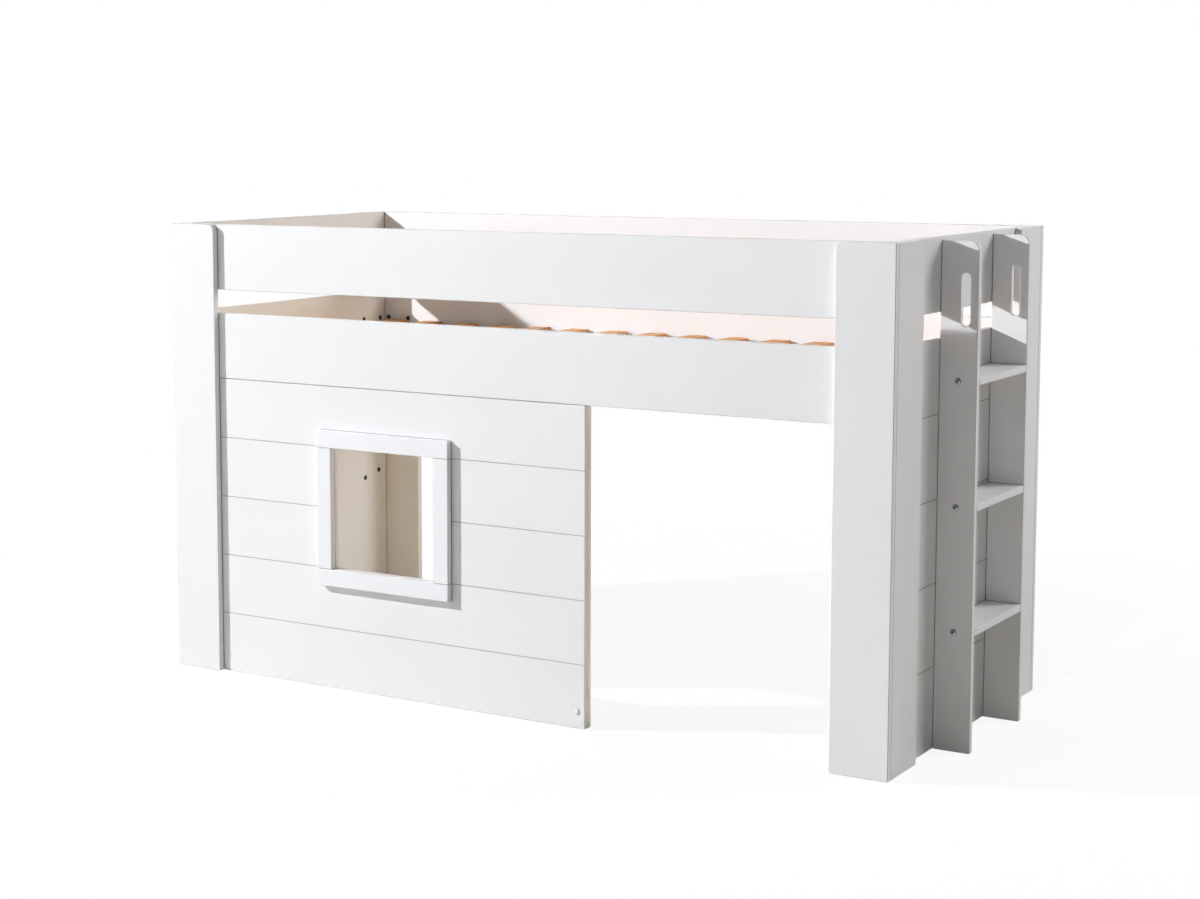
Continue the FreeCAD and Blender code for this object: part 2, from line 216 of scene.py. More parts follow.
def planed_softwood(name, early, late, knot, first, pitch):
    """Planed softwood with its grain along Y, shifted and toned from board to board along X."""
    material, tree, shader, place = finish_of(name)
    ring_mm, fibre_mm, knot_mm = 7, 1.2, 160
    grain_stretch, knot_stretch, board_shift = (1, 0.04, 1), (1, 0.55, 1), (3.0, 9.0, 5.0)
    darkest_board, palest_board = 0.82, 1.14
    axes = add_node(tree, "ShaderNodeSeparateXYZ", {0: place})
    along = add_node(tree, "ShaderNodeMath", {0: axes.outputs["X"], 1: first}, operation="SUBTRACT")
    along = add_node(tree, "ShaderNodeMath", {0: along.outputs[0], 1: pitch}, operation="DIVIDE")
    index = add_node(tree, "ShaderNodeMath", {0: along.outputs[0]}, operation="FLOOR")
    luck = add_node(tree, "ShaderNodeTexWhiteNoise", {"W": index.outputs[0]}, noise_dimensions="1D")
    shift = add_node(tree, "ShaderNodeVectorMath", {0: luck.outputs["Color"], 1: board_shift},
                     operation="MULTIPLY")
    spot = add_node(tree, "ShaderNodeVectorMath", {0: place, 1: shift.outputs[0]}, operation="ADD")
    drawn = add_node(tree, "ShaderNodeMapping", {"Vector": spot.outputs[0], "Scale": grain_stretch})
    rings = add_node(tree, "ShaderNodeTexNoise", {"Vector": drawn.outputs[0], "Scale": 1000 / ring_mm,
                                                  "Detail": 2, "Distortion": 0.6})
    fibre = add_node(tree, "ShaderNodeTexNoise", {"Vector": drawn.outputs[0], "Scale": 1000 / fibre_mm,
                                                  "Detail": 3})
    bands = add_node(tree, "ShaderNodeMapRange", {"Value": rings.outputs["Fac"], "From Min": 0.42,
                                                  "From Max": 0.62})
    tone = add_node(tree, "ShaderNodeMix", {0: bands.outputs[0], 6: linear(early), 7: linear(late)},
                    data_type="RGBA")
    fine = add_node(tree, "ShaderNodeMapRange", {"Value": fibre.outputs["Fac"], "From Min": 0.3,
                                                 "From Max": 0.7, "To Min": 0.86, "To Max": 1.06})
    each = add_node(tree, "ShaderNodeMapRange", {"Value": luck.outputs["Value"], "To Min": darkest_board,
                                                 "To Max": palest_board})
    fine = add_node(tree, "ShaderNodeMath", {0: fine.outputs[0], 1: each.outputs[0]}, operation="MULTIPLY")
    tone = add_node(tree, "ShaderNodeVectorMath", {0: tone.outputs[2], 1: fine.outputs[0]},
                    operation="MULTIPLY")
    oval = add_node(tree, "ShaderNodeMapping", {"Vector": spot.outputs[0], "Scale": knot_stretch})
    knots = add_node(tree, "ShaderNodeTexVoronoi", {"Vector": oval.outputs[0], "Scale": 1000 / knot_mm})
    eye = add_node(tree, "ShaderNodeMapRange", {"Value": knots.outputs["Distance"], "From Min": 0.035,
                                                "From Max": 0.075, "To Min": 0.85, "To Max": 0.0})
    tone = add_node(tree, "ShaderNodeMix", {0: eye.outputs[0], 6: tone.outputs[0], 7: linear(knot)},
                    data_type="RGBA")
    tree.links.new(tone.outputs[2], shader.inputs["Base Color"])
    rough = add_node(tree, "ShaderNodeMapRange", {"Value": rings.outputs["Fac"], "From Min": 0.3,
                                                  "From Max": 0.7, "To Min": 0.52, "To Max": 0.68})
    tree.links.new(rough.outputs[0], shader.inputs["Roughness"])
    bump = add_node(tree, "ShaderNodeBump", {"Strength": 0.25, "Distance": 0.0005,
                                             "Height": fibre.outputs["Fac"]})
    tree.links.new(bump.outputs[0], shader.inputs["Normal"])
    shader.inputs["Specular IOR Level"].default_value = 0.12
    return material


# Each slat's tone begins in the middle of the gap before it
tone_first = slat_first - slat_gap / 2
dress(planed_softwood("planed pine", "#EFBB8A", "#D2965F", "#7F5230", tone_first, slat_pitch), *slat_names)

# SLAT STRAPS
# Two woven polyester tapes along the undersides keep the slats apart when the base is rolled up.
# Pulled straight and stapled to every slat, so they dip a little between one slat and the next.
strap_names = ["front_slat_strap", "rear_slat_strap"]
strap_length, strap_width = extent("front_slat_strap", "x"), extent("front_slat_strap", "y")
strap_thick, strap_dip = 0.0012, 0.0012
strap_steps, strap_strips = 394, 4


def fit_piece(name, mesh, body):
    """A finished piece at the origin, riding on a body."""
    piece = bpy.data.objects.new(name, mesh)
    bpy.context.scene.collection.objects.link(piece)
    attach(piece, body)
    return piece


def woven_tape(name, thread, hollow_shade):
    """Polyester tape in plain weave: a light rib on each weft thread, a notch between warps in painted shade.
    Threads are drawn about twice their real size, because finer ones don't show."""
    material, tree, shader, place = finish_of(name)
    weft_mm, warp_mm, fuzz_mm = 2.4, 1.8, 11
    # A wave texture turns 20 radians in a metre at a scale of 1, and half a turn is one thread
    weft_scale, warp_scale = (math.pi / 20 * 1000 / thread_mm for thread_mm in (weft_mm, warp_mm))
    weft = add_node(tree, "ShaderNodeTexWave", {"Vector": place, "Scale": weft_scale}, bands_direction="X")
    warp = add_node(tree, "ShaderNodeTexWave", {"Vector": place, "Scale": warp_scale}, bands_direction="Y")
    weave = add_node(tree, "ShaderNodeMath", {0: weft.outputs["Fac"], 1: warp.outputs["Fac"]},
                     operation="MULTIPLY")
    fuzz = add_node(tree, "ShaderNodeTexNoise", {"Vector": place, "Scale": 1000 / fuzz_mm, "Detail": 6})
    light = add_node(tree, "ShaderNodeMath", {0: weave.outputs[0], 1: fuzz.outputs["Fac"]}, operation="ADD")
    light = add_node(tree, "ShaderNodeMapRange", {"Value": light.outputs[0], "From Min": 0.3,
                                                  "From Max": 1.2})
    # The hollows between threads take the darker colour: painted shade
    tone = add_node(tree, "ShaderNodeMix", {0: light.outputs[0], 6: linear(hollow_shade), 7: linear(thread)},
                    data_type="RGBA")
    tree.links.new(tone.outputs[2], shader.inputs["Base Color"])
    bump = add_node(tree, "ShaderNodeBump", {"Strength": 0.6, "Distance": 0.0004,
                                             "Height": weave.outputs[0]})
    tree.links.new(bump.outputs[0], shader.inputs["Normal"])
    shader.inputs["Roughness"].default_value = 0.75
    shader.inputs["Sheen Weight"].default_value = 0.2
    return material


tape = woven_tape("woven polyester tape", "#E9E4D8", "#B9B09E")
for strap_name in strap_names:
    strap_start, strap_side = reach(strap_name, "x")[0], reach(strap_name, "y")[0]
    across = [strap_side + strap_width * k / strap_strips for k in range(strap_strips + 1)]
    shape = bmesh.new()
    rows = []
    for step in range(strap_steps + 1):
        x = strap_start + strap_length * step / strap_steps
        past = (x - slat_first) % slat_pitch - slat_wide
        dip = strap_dip * math.sin(math.pi * past / slat_gap) if past > 0 else 0
        z = slat_low - strap_thick - max(dip, 0)
        rows.append([shape.verts.new((x, y, z)) for y in across])
    for low, high in zip(rows, rows[1:]):
        for k in range(strap_strips):
            shape.faces.new((low[k], high[k], high[k + 1], low[k + 1]))
    bmesh.ops.solidify(shape, geom=shape.faces[:], thickness=-strap_thick)
    bmesh.ops.recalc_face_normals(shape, faces=shape.faces[:])
    strap_mesh = bpy.data.meshes.new(strap_name + "_tape")
    shape.to_mesh(strap_mesh)
    shape.free()
    strap_mesh.materials.append(tape)
    strap = fit_piece(strap_name + "_tape", strap_mesh, "slat_base")
    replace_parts(strap, strap_name)

# CONNECTOR BOLTS
# Low-domed bolts with a hex socket join rails, panels and liners to the posts, and the steps to the stiles.
# Steel, blackened where it is driven from inside the bed, and zinc-plated on the ladder's outer faces.
bolt_sizes = {"Head radius": 0.007, "Head height": 0.003, "Rim height": 0.001, "Socket radius": 0.0032,
              "Socket depth": 0.0022, "Shank radius": 0.0027}


def plated_steel(name, bright, dull, deep, shaded_side):
    """Plated or blackened steel: half bright, with the mottled bloom that the bath leaves, painted shade
    deep in the sockets, and painted shade and dark reflection on the slopes that face one side."""
    material, tree, shader, place = finish_of(name)
    bloom_mm, socket_mm = 3, 8
    bloom = add_node(tree, "ShaderNodeTexNoise", {"Vector": place, "Scale": 1000 / bloom_mm, "Detail": 4})
    tone = add_node(tree, "ShaderNodeMix", {0: bloom.outputs["Fac"], 6: linear(bright), 7: linear(dull)},
                    data_type="RGBA")
    # Painted shade in the sockets, where ambient occlusion is low
    shade_occlusion = add_node(tree, "ShaderNodeAmbientOcclusion", {"Distance": socket_mm / 1000}, samples=8)
    socket_shade = add_node(tree, "ShaderNodeMapRange", {"Value": shade_occlusion.outputs["AO"], "From Min": 0.66,
                                                 "From Max": 0.9, "To Min": 1.0, "To Max": 0.0})
    # Painted shade and dark reflection on the head's slopes that face the given side
    normal = add_node(tree, "ShaderNodeNewGeometry").outputs["True Normal"]
    facing = add_node(tree, "ShaderNodeVectorMath", {0: normal, 1: shaded_side}, operation="DOT_PRODUCT")
    side_shade = add_node(tree, "ShaderNodeMapRange", {"Value": facing.outputs["Value"], "From Min": 0.12,
                                                  "From Max": 0.34})
    for film in (socket_shade, side_shade):
        tone = add_node(tree, "ShaderNodeMix", {0: film.outputs[0], 6: tone.outputs[2], 7: linear(deep)},
                        data_type="RGBA")
    tree.links.new(tone.outputs[2], shader.inputs["Base Color"])
    rough = add_node(tree, "ShaderNodeMapRange", {"Value": bloom.outputs["Fac"], "From Min": 0.3,
                                                  "From Max": 0.7, "To Min": 0.28, "To Max": 0.45})
    tree.links.new(rough.outputs[0], shader.inputs["Roughness"])
    shader.inputs["Metallic"].default_value = 1.0
    return material


zinc = plated_steel("zinc plated steel", "#C6D3DA", "#8E9BA2", "#0B0D0F", shaded_side=(0.6, 0.0, 0.8))
blackened = plated_steel("blackened steel", "#6A6C6B", "#3C3B39", "#0E0E0E", shaded_side=(0.0, 0.0, 1.0))


def fastener_tree(name, size_names):
    """An empty geometry tree with named inputs for seats, sizes and finish, and those inputs to link from."""
    tree = bpy.data.node_groups.new(name, "GeometryNodeTree")
    tree.interface.new_socket("Seats", in_out="INPUT", socket_type="NodeSocketGeometry")
    for size_name in size_names:
        tree.interface.new_socket(size_name, in_out="INPUT", socket_type="NodeSocketFloat")
    tree.interface.new_socket("Finish", in_out="INPUT", socket_type="NodeSocketMaterial")
    tree.interface.new_socket("Fasteners", in_out="OUTPUT", socket_type="NodeSocketGeometry")
    return tree, add_node(tree, "NodeGroupInput").outputs


def block_below(tree, width):
    """A block just under the seat, which cuts a dome off flat."""
    depth = 0.01
    block = add_node(tree, "GeometryNodeMeshCube", {"Size": (width, width, depth)})
    return add_node(tree, "GeometryNodeTransform", {"Geometry": block.outputs["Mesh"],
                                                    "Translation": (0, 0, -depth / 2)})


def carved(tree, solid, cutters):
    """A solid with shapes cut out of it, one after the other."""
    for cutter in cutters:
        solid = add_node(tree, "GeometryNodeMeshBoolean", {"Mesh 1": solid.outputs[0],
                                                           "Mesh 2": cutter.outputs[0]},
                         operation="DIFFERENCE")
    return solid


def with_shank(tree, size, head, sides, tip_radius):
    """A head joined to its shank, a round bar straight down from the seat that ends in a tip."""
    shank = add_node(tree, "GeometryNodeMeshCone", {"Vertices": sides, "Radius Top": size["Shank radius"],
                                                    "Radius Bottom": tip_radius,
                                                    "Depth": size["Shank length"]})
    down = add_node(tree, "ShaderNodeMath", {0: size["Shank length"], 1: -1.0}, operation="MULTIPLY")
    sunk = add_node(tree, "ShaderNodeCombineXYZ", {"Z": down.outputs[0]})
    shank = add_node(tree, "GeometryNodeTransform", {"Geometry": shank.outputs["Mesh"],
                                                     "Translation": sunk.outputs[0]})
    whole = add_node(tree, "GeometryNodeJoinGeometry", {0: head.outputs[0]})
    tree.links.new(shank.outputs[0], whole.inputs[0])
    return whole


def set_on_seats(tree, size, fastener):
    """Close a tree: the fastener on every seat with its head outward, as real meshes in their finish."""
    way = add_node(tree, "GeometryNodeInputNamedAttribute", {"Name": "outward"}, data_type="FLOAT_VECTOR")
    turn = add_node(tree, "FunctionNodeAlignRotationToVector", {"Vector": way.outputs[0]}, axis="Z")
    spread = add_node(tree, "GeometryNodeInstanceOnPoints", {"Points": size["Seats"],
                                                             "Instance": fastener.outputs[0],
                                                             "Rotation": turn.outputs[0]})
    real = add_node(tree, "GeometryNodeRealizeInstances", {0: spread.outputs[0]})
    coated = add_node(tree, "GeometryNodeSetMaterial", {"Geometry": real.outputs[0],
                                                        "Material": size["Finish"]})
    add_node(tree, "NodeGroupOutput", {0: coated.outputs[0]})
    return tree


def bolt_tree():
    """Geometry nodes for bolts: a low dome on a short rim, with a hex socket and a shank, on every seat."""
    tree, size = fastener_tree("connector bolts", [*bolt_sizes, "Shank length"])
    head_sides, dome_rings, hex_sides, shank_sides, block_width = 32, 12, 6, 16, 0.03
    crown = add_node(tree, "ShaderNodeMath", {0: size["Head height"], 1: size["Rim height"]},
                     operation="SUBTRACT")
    ball = add_node(tree, "GeometryNodeMeshUVSphere", {"Segments": head_sides, "Rings": dome_rings,
                                                       "Radius": 1.0})
    flat = add_node(tree, "ShaderNodeCombineXYZ", {"X": size["Head radius"], "Y": size["Head radius"],
                                                   "Z": crown.outputs[0]})
    rise = add_node(tree, "ShaderNodeCombineXYZ", {"Z": size["Rim height"]})
    dome = add_node(tree, "GeometryNodeTransform", {"Geometry": ball.outputs["Mesh"],
                                                    "Translation": rise.outputs[0],
                                                    "Scale": flat.outputs[0]})
    rim = add_node(tree, "GeometryNodeMeshCone", {"Vertices": head_sides, "Radius Top": size["Head radius"],
                                                  "Radius Bottom": size["Head radius"],
                                                  "Depth": size["Rim height"]})
    blank = add_node(tree, "GeometryNodeMeshBoolean", {"Mesh 2": rim.outputs["Mesh"]}, operation="UNION")
    tree.links.new(dome.outputs[0], blank.inputs["Mesh 2"])
    floor = add_node(tree, "ShaderNodeMath", {0: size["Head height"], 1: size["Socket depth"]},
                     operation="SUBTRACT")
    lift = add_node(tree, "ShaderNodeCombineXYZ", {"Z": floor.outputs[0]})
    key = add_node(tree, "GeometryNodeMeshCone", {"Vertices": hex_sides, "Radius Top": size["Socket radius"],
                                                  "Radius Bottom": size["Socket radius"],
                                                  "Depth": size["Head height"]})
    socket = add_node(tree, "GeometryNodeTransform", {"Geometry": key.outputs["Mesh"],
                                                      "Translation": lift.outputs[0]})
    head = carved(tree, blank, [block_below(tree, block_width), socket])
    bolt = with_shank(tree, size, head, shank_sides, size["Shank radius"])
    return set_on_seats(tree, size, bolt)


def fixings(name, tree, seats, sizes):
    """Plain mesh of a tree's fasteners on a list of seats and the directions that their heads face."""
    points = bpy.data.meshes.new(name)
    points.from_pydata([seat for seat, way in seats], [], [])
    outward = points.attributes.new("outward", "FLOAT_VECTOR", "POINT")
    for k, (seat, way) in enumerate(seats):
        outward.data[k].vector = way
    holder = bpy.data.objects.new(name + "_seats", points)
    bpy.context.scene.collection.objects.link(holder)
    modifier = holder.modifiers.new(name, "NODES")
    modifier.node_group = tree
    for item in tree.interface.items_tree:
        if item.name in sizes:
            modifier[item.identifier] = sizes[item.name]
    depsgraph = bpy.context.evaluated_depsgraph_get()
    mesh = bpy.data.meshes.new_from_object(holder.evaluated_get(depsgraph), depsgraph=depsgraph)
    holder.modifiers.remove(modifier)
    bpy.data.objects.remove(holder)
    mesh.name = name
    return mesh


# Two bolts a joint in each leg of a corner, at a distance from the corner and at a height, on the inner face
board = extent("front_bed_rail", "y")
wall = board + extent("front_left_post_face", "y")
post_face, post_side = extent("front_left_post_face", "x"), extent("front_left_post_side", "y")
rail_inset, end_inset, low_inset, edge_margin = 0.014, 0.026, 0.040, 0.022
rail_drop, liner_row, low_row, low_rise = 0.083, 0.650, 0.409, 0.016
guard_row = middle("front_guard_rail", "z")
rail_row = reach("front_bed_rail", "z")[1] - rail_drop
face_offsets = (wall + rail_inset, post_face - edge_margin)
far_side = board + post_side - edge_margin
side_offsets = (wall + end_inset, far_side)
rail_places = [(offset, level) for level in (guard_row, rail_row) for offset in face_offsets]
liner_places = [(offset, liner_row) for offset in face_offsets]
side_places = [(offset, level) for level in (guard_row, rail_row) for offset in side_offsets]
side_places += [(wall + low_inset, low_row + low_rise), (far_side, low_row)]
frame_seats = []
for corner in corner_names:
    (x_low, x_high), (y_low, y_high) = (reach(corner + "_post_face", axis) for axis in "xy")
    x_face, x_in = (x_low, 1) if "left" in corner else (x_high, -1)
    y_face, y_in = (y_low, 1) if "front" in corner else (y_high, -1)
    face_places = rail_places if corner == "front_left" else rail_places + liner_places
    for offset, level in face_places:
        frame_seats.append(((x_face + x_in * offset, y_face + y_in * wall, level), (0, y_in, 0)))
    for offset, level in side_places:
        frame_seats.append(((x_face + x_in * wall, y_face + y_in * offset, level), (x_in, 0, 0)))

# At the front left corner the house panel stands in the liner's place
panel, panel_back = extent("house_panel", "y"), reach("house_panel", "y")[1]
post_left = reach("front_left_post_face", "x")[0]
panel_seats = [((post_left + offset, panel_back, level), (0, 1, 0)) for offset, level in liner_places]

# One bolt through a stile into each end of a step, and two from inside the end into each stile
stile_faces = [(reach("front_ladder_stile", "y")[0], -1), (reach("rear_ladder_stile", "y")[1], 1)]
step_x = middle("ladder_step_1", "x")
step_seats = [((step_x, y, middle(step, "z")), (0, way, 0)) for y, way in stile_faces for step in step_names]
slot_margin, stile_low_row = 0.073, 0.150
stile_rows = (reach("front_ladder_stile", "z")[1] - slot_margin / 2, stile_low_row)
end_face = reach("right_end_panel", "x")[0]
ladder_seats = [((end_face, middle(stile, "y"), z), (-1, 0, 0)) for stile in stile_names for z in stile_rows]

# A shank passes the board under its head and grips the piece behind
bolt_grip, ladder_grip = 0.0118, 0.0318
bolts = bolt_tree()
for name, seats, length, finish in (("frame_bolts", frame_seats, board + bolt_grip, blackened),
                                    ("ladder_bolts", ladder_seats, board + ladder_grip, blackened),
                                    ("step_bolts", step_seats, board + ladder_grip, zinc)):
    mesh = fixings("hex_" + name, bolts, seats, {**bolt_sizes, "Shank length": length, "Finish": finish})
    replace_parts(fit_piece("hex_" + name, mesh, "frame"), name)
panel_sizes = {**bolt_sizes, "Shank length": panel + bolt_grip, "Finish": blackened}
mesh = fixings("hex_panel_bolts", bolts, panel_seats, panel_sizes)
fit_piece("hex_panel_bolts", mesh, "frame")

# SCREWS
# Small pan-headed screws with a cross recess: through the ledgers into the rails, and from the den side
# through the house panel into the window frame. The same zinc plate as the step bolts.
screw_sizes = {"Head radius": 0.004, "Head height": 0.002, "Recess length": 0.0048, "Recess width": 0.0011,
               "Recess depth": 0.0012, "Shank radius": 0.0017}


def screw_tree():
    """Geometry nodes for screws: a domed head with a cross recess and a shank, on every seat."""
    tree, size = fastener_tree("pan screws", [*screw_sizes, "Shank length"])
    head_sides, dome_rings, shank_sides, tip_radius, block_width = 24, 12, 12, 0.0004, 0.02
    ball = add_node(tree, "GeometryNodeMeshUVSphere", {"Segments": head_sides, "Rings": dome_rings,
                                                       "Radius": 1.0})
    flat = add_node(tree, "ShaderNodeCombineXYZ", {"X": size["Head radius"], "Y": size["Head radius"],
                                                   "Z": size["Head height"]})
    dome = add_node(tree, "GeometryNodeTransform", {"Geometry": ball.outputs["Mesh"],
                                                    "Scale": flat.outputs[0]})
    lift = add_node(tree, "ShaderNodeCombineXYZ", {"Z": size["Head height"]})
    deep = add_node(tree, "ShaderNodeMath", {0: size["Recess depth"], 1: 2.0}, operation="MULTIPLY")
    bar = add_node(tree, "ShaderNodeCombineXYZ", {"X": size["Recess length"], "Y": size["Recess width"],
                                                  "Z": deep.outputs[0]})
    blade = add_node(tree, "GeometryNodeMeshCube", {"Size": bar.outputs[0]})
    cutters = [block_below(tree, block_width)]
    for angle in (0, math.pi / 2):
        cutters.append(add_node(tree, "GeometryNodeTransform", {"Geometry": blade.outputs["Mesh"],
                                                                "Translation": lift.outputs[0],
                                                                "Rotation": (0, 0, angle)}))
    head = carved(tree, dome, cutters)
    screw = with_shank(tree, size, head, shank_sides, tip_radius)
    return set_on_seats(tree, size, screw)


# A row of screws along each ledger, halfway up
ledger, ledger_length = extent("front_slat_ledger", "y"), extent("front_slat_ledger", "x")
ledger_faces = [(reach("front_slat_ledger", "y")[1], 1), (reach("rear_slat_ledger", "y")[0], -1)]
ledger_row = middle("front_slat_ledger", "z")
ledger_margin, ledger_screw_count = 0.060, 6
ledger_first = reach("front_slat_ledger", "x")[0] + ledger_margin
ledger_pitch = (ledger_length - 2 * ledger_margin) / (ledger_screw_count - 1)
ledger_places = [ledger_first + ledger_pitch * k for k in range(ledger_screw_count)]
ledger_seats = [((x, y, ledger_row), (0, way, 0)) for y, way in ledger_faces for x in ledger_places]

# Two screws in each board of the window frame, a margin in from the window's corners
frame_margin = 0.070
window_left, window_right = reach("window_frame_left", "x")[1], reach("window_frame_right", "x")[0]
window_low, window_high = reach("window_frame_bottom", "z")[1], reach("window_frame_top", "z")[0]
lying_x = (window_left + frame_margin, window_right - frame_margin)
standing_z = (window_low + frame_margin, window_high - frame_margin)
window_places = [(x, middle("window_frame_" + side, "z")) for side in ("bottom", "top") for x in lying_x]
window_places += [(middle("window_frame_" + side, "x"), z) for side in ("left", "right") for z in standing_z]
window_seats = [((x, panel_back, z), (0, 1, 0)) for x, z in window_places]

screw_grip = 0.0118
screws = screw_tree()
for name, seats, through in (("ledger_screws", ledger_seats, ledger),
                             ("window_frame_screws", window_seats, panel)):
    seat_sizes = {**screw_sizes, "Shank length": through + screw_grip, "Finish": zinc}
    mesh = fixings("pan_" + name, screws, seats, seat_sizes)
    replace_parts(fit_piece("pan_" + name, mesh, "frame"), name)
dress(zinc, "batten_screw")

# STAPLES
# One wide staple per slat holds each strap, pressed flat into the tape from below.
# Galvanised wire, legs sunk in the wood.
staple_sizes = {"Crown": 0.012, "Wire": 0.0011}


def staple_tree():
    """Geometry nodes for staples: a short round wire lying across the strap, on every seat."""
    tree, size = fastener_tree("strap staples", staple_sizes)
    wire_sides = 8
    ends = []
    for share in (-0.5, 0.5):
        half = add_node(tree, "ShaderNodeMath", {0: size["Crown"], 1: share}, operation="MULTIPLY")
        ends.append(add_node(tree, "ShaderNodeCombineXYZ", {"Y": half.outputs[0]}).outputs[0])
    line = add_node(tree, "GeometryNodeCurvePrimitiveLine", {"Start": ends[0], "End": ends[1]})
    thick = add_node(tree, "ShaderNodeMath", {0: size["Wire"], 1: 0.5}, operation="MULTIPLY")
    ring = add_node(tree, "GeometryNodeCurvePrimitiveCircle", {"Resolution": wire_sides,
                                                               "Radius": thick.outputs[0]})
    wire = add_node(tree, "GeometryNodeCurveToMesh", {"Curve": line.outputs[0],
                                                      "Profile Curve": ring.outputs[0], "Fill Caps": True})
    return set_on_seats(tree, size, wire)


staple_z = slat_low - strap_thick - staple_sizes["Wire"] / 2
staple_places = [(middle(slat, "x"), middle(strap, "y")) for strap in strap_names for slat in slat_names]
staple_seats = [((x, y, staple_z), (0, 0, -1)) for x, y in staple_places]
mesh = fixings("strap_staples", staple_tree(), staple_seats, {**staple_sizes, "Finish": zinc})
fit_piece("strap_staples", mesh, "slat_base")

# STEP DOWELS
# Beech pegs on both sides of each step bolt, glued into stile and step so that the step can't turn.
# Quite hidden once the ladder is together.
beech = planed_softwood("beech dowel", "#D8B48C", "#C19A70", "#A67C52", first=0.0, pitch=1.0)
dress(beech, "step_dowels")

# COVER CAP
# Push-in cap over the sunk screw at the free bottom corner of the house panel.
# Moulded white polypropylene, a low dome with a thin rim, a little glossier than the lacquer.
cap_radius, cap_height, cap_rim = extent("screw_cap", "x") / 2, extent("screw_cap", "y"), 0.0018
cap_centre = Vector((middle("screw_cap", "x"), reach("screw_cap", "y")[1], middle("screw_cap", "z")))
cap_sides, cap_bands = 32, 7


def moulded_plastic(name, colour, shade):
    """Polypropylene straight from the mould: even, faintly clouded, a fine spark-eroded grain."""
    material, tree, shader, place = finish_of(name)
    grain_mm = 0.8
    grain = add_node(tree, "ShaderNodeTexNoise", {"Vector": place, "Scale": 1000 / grain_mm, "Detail": 2})
    tone = add_node(tree, "ShaderNodeMix", {0: grain.outputs["Fac"], 6: linear(colour), 7: linear(shade)},
                    data_type="RGBA")
    tree.links.new(tone.outputs[2], shader.inputs["Base Color"])
    bump = add_node(tree, "ShaderNodeBump", {"Strength": 0.1, "Distance": 0.0002,
                                             "Height": grain.outputs["Fac"]})
    tree.links.new(bump.outputs[0], shader.inputs["Normal"])
    shader.inputs["Roughness"].default_value = 0.32
    return material


profile = [(cap_radius, 0.0), (cap_radius, cap_rim)]
for band in range(1, cap_bands):
    lift = band / cap_bands * math.pi / 2
    profile.append((cap_radius * math.cos(lift), cap_rim + (cap_height - cap_rim) * math.sin(lift)))
turns = [2 * math.pi * k / cap_sides for k in range(cap_sides)]
shape = bmesh.new()
rings = []
for radius, out in profile:
    ring = [cap_centre + Vector((radius * math.cos(t), -out, radius * math.sin(t))) for t in turns]
    rings.append([shape.verts.new(place) for place in ring])
tip = shape.verts.new(cap_centre + Vector((0, -cap_height, 0)))
for k in range(cap_sides):
    after = (k + 1) % cap_sides
    for low, high in zip(rings, rings[1:]):
        shape.faces.new((low[k], low[after], high[after], high[k]))
    shape.faces.new((rings[-1][k], rings[-1][after], tip))
shape.faces.new(rings[0])
bmesh.ops.recalc_face_normals(shape, faces=shape.faces[:])
for face in shape.faces:
    face.smooth = len(face.verts) < cap_sides
cap_mesh = bpy.data.meshes.new("domed_screw_cap")
shape.to_mesh(cap_mesh)
shape.free()
cap_mesh.materials.append(moulded_plastic("moulded white polypropylene", "#F3F3F2", "#ECECEA"))
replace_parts(fit_piece("domed_screw_cap", cap_mesh, "frame"), "screw_cap")

# STUDIO
# A plain pale floor that runs out to a white background, and keeps a faint shadow near the bed.
# Its bounce is warm, as from a boarded studio floor; the camera sees it pale.
floor_reach, shadow_near, shadow_far, least_white = 40.0, 1.0, 2.6, 0.9


def seen_directly(tree):
    """1 where the camera, a reflection or a view through glass meets the surface, 0 for bounced light."""
    paths = add_node(tree, "ShaderNodeLightPath").outputs
    seen = paths["Is Camera Ray"]
    for ray in ("Is Glossy Ray", "Is Transmission Ray"):
        seen = add_node(tree, "ShaderNodeMath", {0: seen, 1: paths[ray]}, operation="MAXIMUM").outputs[0]
    return seen


shape = bmesh.new()
bmesh.ops.create_grid(shape, x_segments=1, y_segments=1, size=floor_reach)
floor_mesh = bpy.data.meshes.new("studio_floor")
shape.to_mesh(floor_mesh)
shape.free()
floor = bpy.data.objects.new("studio_floor", floor_mesh)
bpy.context.scene.collection.objects.link(floor)
floor_paint, tree, shader, place = finish_of("pale studio floor")
tree.nodes.remove(shader)
seen = seen_directly(tree)
near = add_node(tree, "ShaderNodeVectorMath", {0: place}, operation="LENGTH")
share = add_node(tree, "ShaderNodeMapRange", {"Value": near.outputs["Value"], "From Min": shadow_near,
                                              "From Max": shadow_far, "To Min": least_white, "To Max": 1.0})
pale = add_node(tree, "ShaderNodeBsdfDiffuse", {"Color": linear("#FFFFFF")})
glow = add_node(tree, "ShaderNodeEmission", {"Color": linear("#FFFFFF"), "Strength": 1.0})
shown = add_node(tree, "ShaderNodeMixShader", {0: share.outputs[0], 1: pale.outputs[0], 2: glow.outputs[0]})
boards = add_node(tree, "ShaderNodeBsdfDiffuse", {"Color": linear("#C3BFB8")})
both = add_node(tree, "ShaderNodeMixShader", {0: seen, 1: boards.outputs[0], 2: shown.outputs[0]})
tree.links.new(both.outputs[0], tree.nodes["Material Output"].inputs["Surface"])
floor_mesh.materials.append(floor_paint)

# LIGHT
# A small key lamp at the front left, a broad weak one before the bed, a large soft box behind the right end,
# and an even fill. Two weak warm lamps stand for bounced light: one on the den's floor, one over the slats.
world = bpy.data.worlds.new("studio")
bpy.context.scene.world = world
world.use_nodes = True
tree = world.node_tree
tree.nodes.clear()
seen = seen_directly(tree)
fill = add_node(tree, "ShaderNodeBackground", {"Color": linear("#FFFFFF"), "Strength": 0.09})
white = add_node(tree, "ShaderNodeBackground", {"Color": linear("#FFFFFF"), "Strength": 1.0})
both = add_node(tree, "ShaderNodeMixShader", {0: seen, 1: fill.outputs[0], 2: white.outputs[0]})
add_node(tree, "ShaderNodeOutputWorld", {0: both.outputs[0]})


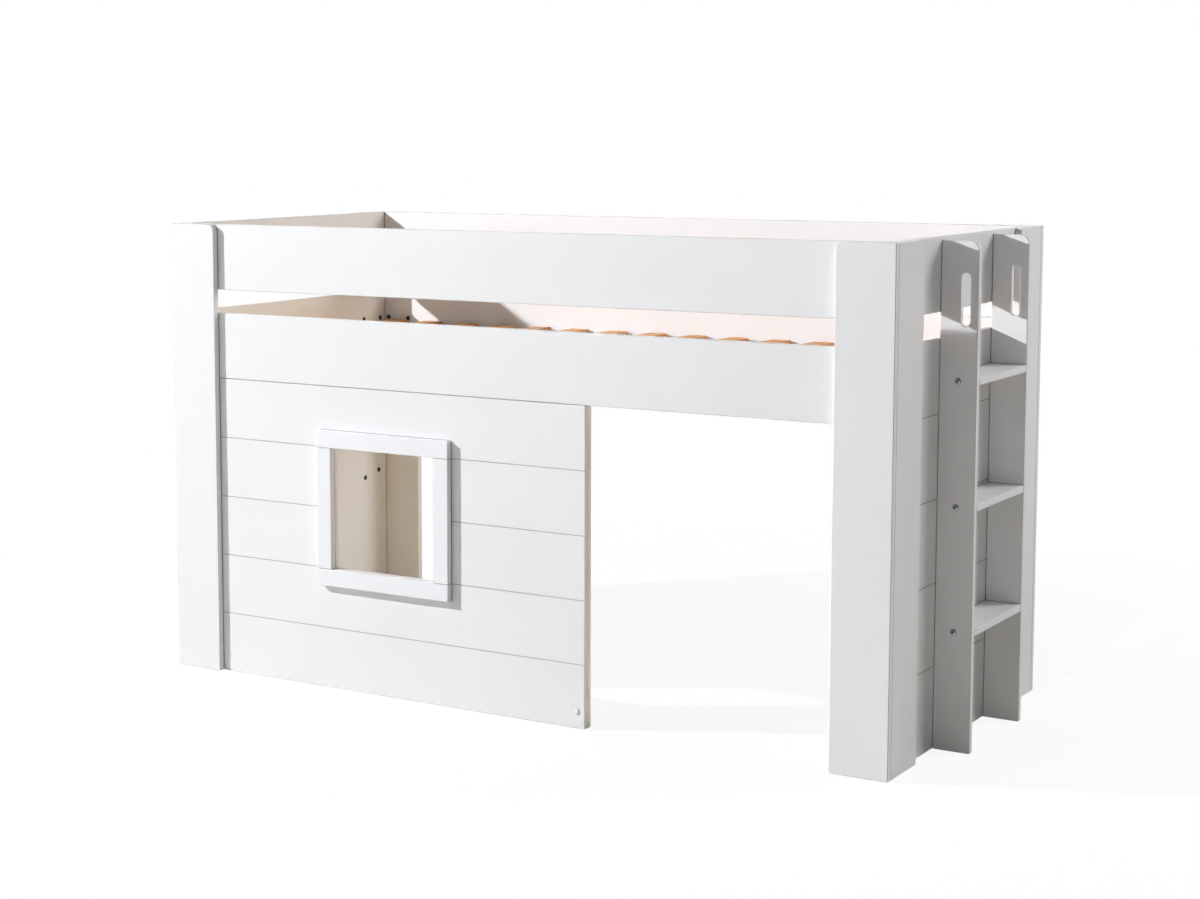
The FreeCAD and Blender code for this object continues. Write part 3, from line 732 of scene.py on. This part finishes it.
def add_lamp(name, kind, place, aim=None, tint="#FFFFFF", **settings):
    """A lamp at a place, turned to face a point where one is given."""
    data = bpy.data.lights.new(name, kind)
    data.color = linear(tint)[:3]
    for setting, value in settings.items():
        setattr(data, setting, value)
    lamp = bpy.data.objects.new(name, data)
    lamp.location = place
    if aim:
        lamp.rotation_mode = "QUATERNION"
        lamp.rotation_quaternion = (Vector(aim) - lamp.location).to_track_quat("-Z", "Y")
    bpy.context.scene.collection.objects.link(lamp)
    return lamp


# The key doesn't weaken with distance, so that the near left of the front isn't burnt out
key = add_lamp("key_lamp", "POINT", (-3.6, -2.5, 2.8), tint="#F9FBFF", energy=48.5, shadow_soft_size=0.06)
key.data.use_nodes = True
tree = key.data.node_tree
fall = add_node(tree, "ShaderNodeLightFalloff", {"Strength": 1.0}).outputs
tree.links.new(fall["Constant"], tree.nodes["Emission"].inputs["Strength"])

bed_middle = (0.2, 0.0, 0.6)
add_lamp("front_fill", "AREA", (-2.6, -5.4, 2.2), aim=bed_middle, shape="RECTANGLE", size=3.0, size_y=3.0,
         energy=55)
add_lamp("soft_box", "AREA", (5.0, 4.1, 4.2), aim=bed_middle, shape="RECTANGLE", size=3.3, size_y=3.3,
         energy=262)

facing_up = (math.pi, 0, 0)
den_bounce = add_lamp("den_bounce", "AREA", (0.06, 0.0, 0.01), tint="#FFE4A6", shape="RECTANGLE", size=1.7,
                      size_y=0.8, energy=3.0)
den_bounce.rotation_euler = facing_up
den_bounce.visible_camera = False

left_end_over_slats = (-1.04, -0.05, 0.92)
slat_bounce = add_lamp("slat_bounce", "SPOT", (2.5, 0.45, 2.0), aim=left_end_over_slats, tint="#FFDDA8",
                       energy=90, spot_size=math.radians(21), spot_blend=0.7, shadow_soft_size=0.2)
slat_bounce.scale = (1.0, 0.5, 1.0)

# CAMERA
# Right of the bed at eye height, looking across it to the left, as in the photograph.
# The lens is shifted sideways and down as far as the framing needs, which keeps the posts almost upright.
camera_data = bpy.data.cameras.new("camera")
camera_data.sensor_width = 36
camera_data.lens = 66.114
camera_data.shift_x = 0.1058
camera_data.shift_y = -0.0704
camera_data.clip_end = 200
camera = bpy.data.objects.new("camera", camera_data)
eye = (2.8555, -5.0320, 1.4672)
quarter_turn = math.pi / 2
yaw, pitch, roll = (math.radians(angle) for angle in (33.0878, 6.1540, -0.2046))
tilt = Matrix.Rotation(quarter_turn - pitch, 4, "X") @ Matrix.Rotation(roll, 4, "Z")
camera.matrix_world = Matrix.Translation(eye) @ Matrix.Rotation(yaw, 4, "Z") @ tilt
bpy.context.scene.collection.objects.link(camera)
bpy.context.scene.camera = camera
bpy.context.scene.view_settings.view_transform = "Standard"
